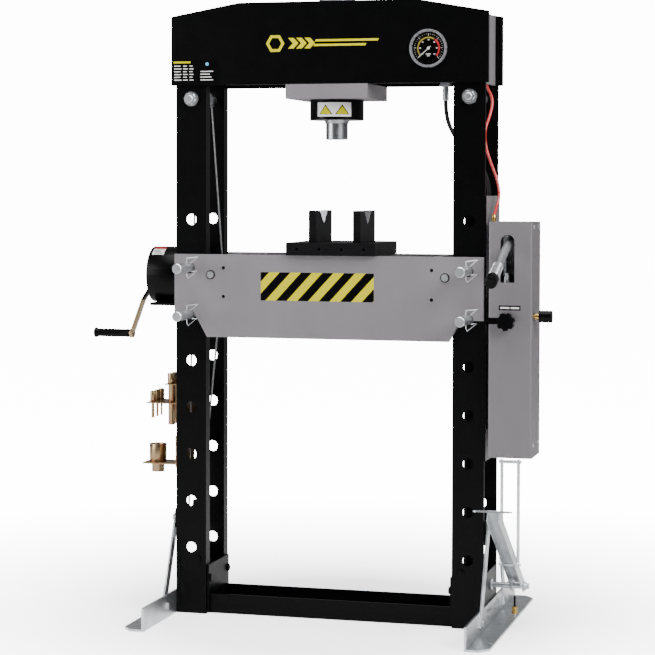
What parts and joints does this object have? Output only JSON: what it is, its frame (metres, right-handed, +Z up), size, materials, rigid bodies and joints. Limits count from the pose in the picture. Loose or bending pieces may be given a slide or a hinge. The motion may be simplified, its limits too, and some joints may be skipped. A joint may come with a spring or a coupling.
{
  "type": "hydraulic shop press",
  "caption": "Floor-standing H-frame hydraulic shop press with a winch-raised bed on removable pins, hand and foot pump, V-blocks and a pressure gauge.",
  "frame": {"origin": "on the floor, straight under the ram axis, at the middle of the base", "axes": "+Z up along the ram axis, +X to the operator's right where the pump is, -Y towards the operator"},
  "size_m": [1.379, 0.8125, 1.8],
  "materials": {
    "black_paint": "gloss powder coat",
    "grey_paint": "satin powder coat",
    "zinc_plate": "bright zinc plate",
    "yellow_zinc": "yellow zinc plate",
    "black_steel": "blackened",
    "chrome": "polished",
    "black_rubber": "matt",
    "red_hose": "satin",
    "glass": "clear",
    "black_plastic": "moulded",
    "gauge_case": "satin",
    "wire_rope": "galvanised strands"
  },
  "bodies": {
    "frame": {"air_hose": "red_hose", "base_bolts": "zinc_plate", "base_tray": "black_paint", "column_base_plates": "black_paint", "column_ties": "zinc_plate", "cup_holder": "yellow_zinc", "cylinder_body": "black_paint", "feet": "zinc_plate", "foot_braces": "zinc_plate", "gauge_case": "gauge_case", "gauge_lens": "glass", "head_end_plates": "grey_paint", "head_front_plate": "black_paint", "head_rear_plate": "black_paint", "hydraulic_hose": "black_rubber", "low_sheave_bracket": "zinc_plate", "lower_rope": "wire_rope", "pedal_pivot": "zinc_plate", "post_left_front": "black_paint", "post_left_rear": "black_paint", "post_right_front": "black_paint", "post_right_rear": "black_paint", "press_cup": "yellow_zinc", "pump_body": "black_steel", "pump_cover": "grey_paint", "pump_plate": "grey_paint", "punch_rack": "yellow_zinc", "punches": "yellow_zinc", "retainer_plate": "grey_paint", "rope_fixed": "wire_rope", "upper_rope": "wire_rope", "winch_base": "black_paint", "winch_cover": "black_paint"},
    "ram": {"ram": "chrome", "ram_nose": "chrome"},
    "bed": {"bed_front_plate": "grey_paint", "bed_rear_plate": "grey_paint", "bed_spacers": "grey_paint", "bed_rods": "zinc_plate"},
    "arbor_left": {"arbor_plate_left": "black_steel", "v_block_left": "black_steel"},
    "arbor_right": {"arbor_plate_right": "black_steel", "v_block_right": "black_steel"},
    "crank": {"crank_shaft": "zinc_plate", "crank_arm": "yellow_zinc"},
    "grip": {"crank_grip": "black_plastic"},
    "drum": {"winch_drum": "zinc_plate"},
    "top_wheel": {"top_sheave": "zinc_plate"},
    "low_wheel": {"low_sheave": "zinc_plate"},
    "lever": {"hand_lever": "zinc_plate", "lever_grip": "black_plastic"},
    "valve": {"release_knob": "black_plastic"},
    "regulator": {"air_knob": "zinc_plate"},
    "pedal": {"pedal_arm": "zinc_plate"},
    "pedal_link": {"pedal_rods": "zinc_plate"},
    "needle": {"gauge_needle": "gauge_case"},
    "pin_left_upper": {"bed_pin_left_upper": "zinc_plate"},
    "pin_left_lower": {"bed_pin_left_lower": "zinc_plate"},
    "pin_right_upper": {"bed_pin_right_upper": "zinc_plate"},
    "pin_right_lower": {"bed_pin_right_lower": "zinc_plate"}
  },
  "joints": [
    {"name": "ram_slide", "type": "slide", "parent": "frame", "child": "ram", "axis": [0, 0, -1], "range_m": [0, 0.16]},
    {"name": "bed_lift", "type": "slide", "parent": "frame", "child": "bed", "axis": [0, 0, 1], "range_m": [-0.675, 0.135], "deforming": ["upper_rope", "lower_rope"]},
    {"name": "pin_left_upper_pull", "type": "slide", "parent": "bed", "child": "pin_left_upper", "axis": [0, -1, 0], "range_m": [0, 0.25]},
    {"name": "pin_left_lower_pull", "type": "slide", "parent": "bed", "child": "pin_left_lower", "axis": [0, -1, 0], "range_m": [0, 0.25]},
    {"name": "pin_right_upper_pull", "type": "slide", "parent": "bed", "child": "pin_right_upper", "axis": [0, -1, 0], "range_m": [0, 0.25]},
    {"name": "pin_right_lower_pull", "type": "slide", "parent": "bed", "child": "pin_right_lower", "axis": [0, -1, 0], "range_m": [0, 0.25]},
    {"name": "arbor_left_slide", "type": "slide", "parent": "bed", "child": "arbor_left", "axis": [-1, 0, 0], "range_m": [0, 0.2]},
    {"name": "arbor_right_slide", "type": "slide", "parent": "bed", "child": "arbor_right", "axis": [1, 0, 0], "range_m": [0, 0.17]},
    {"name": "crank_turn", "type": "hinge", "parent": "frame", "child": "crank", "pos_m": [-0.56, 0, 0.931], "axis": [1, 0, 0], "continuous": true},
    {"name": "grip_spin", "type": "hinge", "parent": "crank", "child": "grip", "pos_m": [-0.69, 0, 0.797], "axis": [1, 0, 0], "continuous": true},
    {"name": "drum_turn", "type": "hinge", "parent": "frame", "child": "drum", "pos_m": [-0.45, -0.0245, 0.973], "axis": [1, 0, 0], "continuous": true},
    {"name": "top_sheave_turn", "type": "hinge", "parent": "frame", "child": "top_wheel", "pos_m": [-0.405, 0, 1.48], "axis": [0, 1, 0], "continuous": true},
    {"name": "low_sheave_turn", "type": "hinge", "parent": "frame", "child": "low_wheel", "pos_m": [-0.432, 0, 0.23], "axis": [0, 1, 0], "continuous": true},
    {"name": "lever_pump", "type": "hinge", "parent": "frame", "child": "lever", "pos_m": [0.51825, -0.055, 1.097], "axis": [1, 0, 0], "range_deg": [-5, 35]},
    {"name": "release_turn", "type": "hinge", "parent": "frame", "child": "valve", "pos_m": [0.518, -0.15, 0.862], "axis": [0, -1, 0], "range_deg": [0, 180]},
    {"name": "regulator_turn", "type": "hinge", "parent": "frame", "child": "regulator", "pos_m": [0.62, -0.105, 0.875], "axis": [1, 0, 0], "range_deg": [0, 300]},
    {"name": "pedal_press", "type": "hinge", "parent": "frame", "child": "pedal", "pos_m": [0.5285, 0.01, 0.107], "axis": [1, 0, 0], "range_deg": [0, 12], "stiffness_Nm_per_rad": 15, "springref_deg": -28.65},
    {"name": "pedal_link_swing", "type": "hinge", "parent": "pedal", "child": "pedal_link", "pos_m": [0.5285, -0.13, 0.19244], "axis": [1, 0, 0], "range_deg": [-15, 0]},
    {"name": "gauge_read", "type": "hinge", "parent": "frame", "child": "needle", "pos_m": [0.292, -0.119, 1.613], "axis": [0, 1, 0], "range_deg": [0, 265], "stiffness_Nm_per_rad": 0.01, "springref_deg": -17.19}
  ],
  "couplings": [
    {"joint": "drum_turn", "follows": "crank_turn", "ratio": -0.25},
    {"joint": "top_sheave_turn", "follows": "crank_turn", "ratio": -0.2269},
    {"joint": "low_sheave_turn", "follows": "crank_turn", "ratio": -0.4083},
    {"joint": "pedal_link_swing", "follows": "pedal_press", "ratio": -1.2475}
  ]
}
